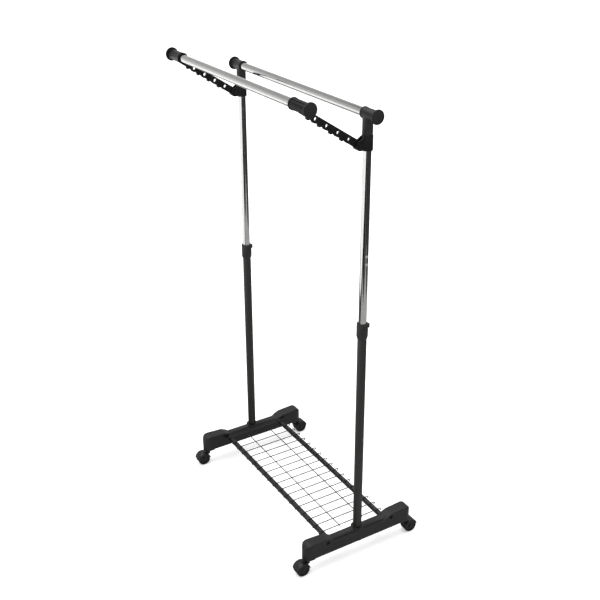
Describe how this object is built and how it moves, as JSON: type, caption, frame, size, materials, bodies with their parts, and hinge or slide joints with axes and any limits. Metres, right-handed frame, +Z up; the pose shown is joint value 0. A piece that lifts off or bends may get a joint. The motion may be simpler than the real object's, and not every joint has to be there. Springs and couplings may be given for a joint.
{
  "type": "rolling clothes rack",
  "caption": "Clothes rack on swivel castors, with telescopic chrome posts, a main bar, a second bar on swinging arms and a low wire shelf.",
  "frame": {"origin": "on the floor, midway between the two posts", "axes": "+X along the bars to the right-hand post, +Z up, -Y towards the side that the swinging arms reach out to"},
  "size_m": [0.742, 0.4244, 1.3789],
  "materials": {
    "foot_plastic": "fine satin, moulded",
    "black_tube": "semi-matt black powder coat",
    "black_plastic": "satin, moulded",
    "bracket_plastic": "satin, darker black",
    "chrome": "bright plated",
    "plain_steel": "zinc plated",
    "spring_steel": "blued",
    "button_steel": "polished",
    "pin_steel": "blackened",
    "castor_plastic": "satin",
    "wheel_plastic": "satin",
    "shelf_metal": "gloss black",
    "inner_plastic": "natural"
  },
  "bodies": {
    "foot_frame": {"base_beam_left": "foot_plastic", "base_beam_right": "foot_plastic", "lower_post_left": "black_tube", "lower_post_right": "black_tube", "post_screws": "plain_steel", "rail_screws": "plain_steel", "shelf_rail_front": "shelf_metal", "shelf_rail_rear": "shelf_metal", "shelf_cross_wires": "shelf_metal", "shelf_long_wires": "shelf_metal", "castor_grip_rings": "plain_steel", "collar_bushes": "inner_plastic"},
    "castor_front_left": {"castor_stem_front_left": "plain_steel", "castor_hood_front_left": "castor_plastic", "castor_axle_front_left": "plain_steel"},
    "wheel_front_left_inner": {"castor_wheel_front_left_inner": "wheel_plastic"},
    "wheel_front_left_outer": {"castor_wheel_front_left_outer": "wheel_plastic"},
    "castor_rear_left": {"castor_stem_rear_left": "plain_steel", "castor_hood_rear_left": "castor_plastic", "castor_axle_rear_left": "plain_steel"},
    "wheel_rear_left_inner": {"castor_wheel_rear_left_inner": "wheel_plastic"},
    "wheel_rear_left_outer": {"castor_wheel_rear_left_outer": "wheel_plastic"},
    "castor_front_right": {"castor_stem_front_right": "plain_steel", "castor_hood_front_right": "castor_plastic", "castor_axle_front_right": "plain_steel"},
    "wheel_front_right_inner": {"castor_wheel_front_right_inner": "wheel_plastic"},
    "wheel_front_right_outer": {"castor_wheel_front_right_outer": "wheel_plastic"},
    "castor_rear_right": {"castor_stem_rear_right": "plain_steel", "castor_hood_rear_right": "castor_plastic", "castor_axle_rear_right": "plain_steel"},
    "wheel_rear_right_inner": {"castor_wheel_rear_right_inner": "wheel_plastic"},
    "wheel_rear_right_outer": {"castor_wheel_rear_right_outer": "wheel_plastic"},
    "collar_left": {"height_collar_left": "black_plastic"},
    "collar_right": {"height_collar_right": "black_plastic"},
    "top_frame": {"chrome_lower_left": "chrome", "chrome_lower_right": "chrome", "chrome_upper_left": "chrome", "chrome_upper_right": "chrome", "post_joiner_left": "plain_steel", "post_joiner_right": "plain_steel", "button_spring_left": "spring_steel", "button_spring_right": "spring_steel", "post_guide_plugs": "inner_plastic", "bar_connector_left": "black_plastic", "bar_connector_right": "black_plastic", "main_bar": "chrome", "main_bar_cap_left": "black_plastic", "main_bar_cap_right": "black_plastic", "arm_bracket_left": "bracket_plastic", "arm_bracket_right": "bracket_plastic", "arm_pivot_pins": "pin_steel"},
    "button_lower_left": {"snap_button_lower_left": "button_steel"},
    "button_upper_left": {"snap_button_upper_left": "button_steel"},
    "button_lower_right": {"snap_button_lower_right": "button_steel"},
    "button_upper_right": {"snap_button_upper_right": "button_steel"},
    "arm_frame": {"swing_arm_left": "bracket_plastic", "swing_arm_right": "bracket_plastic", "second_bar": "chrome", "second_bar_cap_left": "black_plastic", "second_bar_cap_right": "black_plastic"}
  },
  "joints": [
    {"name": "castor_swivel_front_left", "type": "hinge", "parent": "foot_frame", "child": "castor_front_left", "pos_m": [-0.32, -0.171, 0.0485], "axis": [0, 0, 1], "continuous": true},
    {"name": "wheel_spin_front_left_inner", "type": "hinge", "parent": "castor_front_left", "child": "wheel_front_left_inner", "pos_m": [-0.32, -0.1905, 0.02], "axis": [1, 0, 0], "continuous": true},
    {"name": "wheel_spin_front_left_outer", "type": "hinge", "parent": "castor_front_left", "child": "wheel_front_left_outer", "pos_m": [-0.32, -0.1905, 0.02], "axis": [1, 0, 0], "continuous": true},
    {"name": "castor_swivel_rear_left", "type": "hinge", "parent": "foot_frame", "child": "castor_rear_left", "pos_m": [-0.32, 0.171, 0.0485], "axis": [0, 0, 1], "continuous": true},
    {"name": "wheel_spin_rear_left_inner", "type": "hinge", "parent": "castor_rear_left", "child": "wheel_rear_left_inner", "pos_m": [-0.32, 0.1905, 0.02], "axis": [1, 0, 0], "continuous": true},
    {"name": "wheel_spin_rear_left_outer", "type": "hinge", "parent": "castor_rear_left", "child": "wheel_rear_left_outer", "pos_m": [-0.32, 0.1905, 0.02], "axis": [1, 0, 0], "continuous": true},
    {"name": "castor_swivel_front_right", "type": "hinge", "parent": "foot_frame", "child": "castor_front_right", "pos_m": [0.32, -0.171, 0.0485], "axis": [0, 0, 1], "continuous": true},
    {"name": "wheel_spin_front_right_inner", "type": "hinge", "parent": "castor_front_right", "child": "wheel_front_right_inner", "pos_m": [0.32, -0.1905, 0.02], "axis": [1, 0, 0], "continuous": true},
    {"name": "wheel_spin_front_right_outer", "type": "hinge", "parent": "castor_front_right", "child": "wheel_front_right_outer", "pos_m": [0.32, -0.1905, 0.02], "axis": [1, 0, 0], "continuous": true},
    {"name": "castor_swivel_rear_right", "type": "hinge", "parent": "foot_frame", "child": "castor_rear_right", "pos_m": [0.32, 0.171, 0.0485], "axis": [0, 0, 1], "continuous": true},
    {"name": "wheel_spin_rear_right_inner", "type": "hinge", "parent": "castor_rear_right", "child": "wheel_rear_right_inner", "pos_m": [0.32, 0.1905, 0.02], "axis": [1, 0, 0], "continuous": true},
    {"name": "wheel_spin_rear_right_outer", "type": "hinge", "parent": "castor_rear_right", "child": "wheel_rear_right_outer", "pos_m": [0.32, 0.1905, 0.02], "axis": [1, 0, 0], "continuous": true},
    {"name": "collar_turn_left", "type": "hinge", "parent": "foot_frame", "child": "collar_left", "pos_m": [-0.32, 0, 0.757], "axis": [0, 0, 1], "range_deg": [0, 90]},
    {"name": "collar_turn_right", "type": "hinge", "parent": "foot_frame", "child": "collar_right", "pos_m": [0.32, 0, 0.757], "axis": [0, 0, 1], "range_deg": [0, 90]},
    {"name": "height_slide", "type": "slide", "parent": "foot_frame", "child": "top_frame", "axis": [0, 0, 1], "range_m": [-0.165, 0.12]},
    {"name": "button_press_lower_left", "type": "slide", "parent": "top_frame", "child": "button_lower_left", "axis": [1, 0, 0], "range_m": [0, 0.0024], "stiffness_N_per_m": 2000, "springref_m": -0.001, "deforming": ["button_spring_left"]},
    {"name": "button_press_upper_left", "type": "slide", "parent": "top_frame", "child": "button_upper_left", "axis": [1, 0, 0], "range_m": [0, 0.0024], "stiffness_N_per_m": 2000, "springref_m": -0.001},
    {"name": "button_press_lower_right", "type": "slide", "parent": "top_frame", "child": "button_lower_right", "axis": [-1, 0, 0], "range_m": [0, 0.0024], "stiffness_N_per_m": 2000, "springref_m": -0.001, "deforming": ["button_spring_right"]},
    {"name": "button_press_upper_right", "type": "slide", "parent": "top_frame", "child": "button_upper_right", "axis": [-1, 0, 0], "range_m": [0, 0.0024], "stiffness_N_per_m": 2000, "springref_m": -0.001},
    {"name": "arm_swing", "type": "hinge", "parent": "top_frame", "child": "arm_frame", "pos_m": [0, -0.025, 1.242], "axis": [-1, 0, 0], "range_deg": [0, 50]}
  ]
}
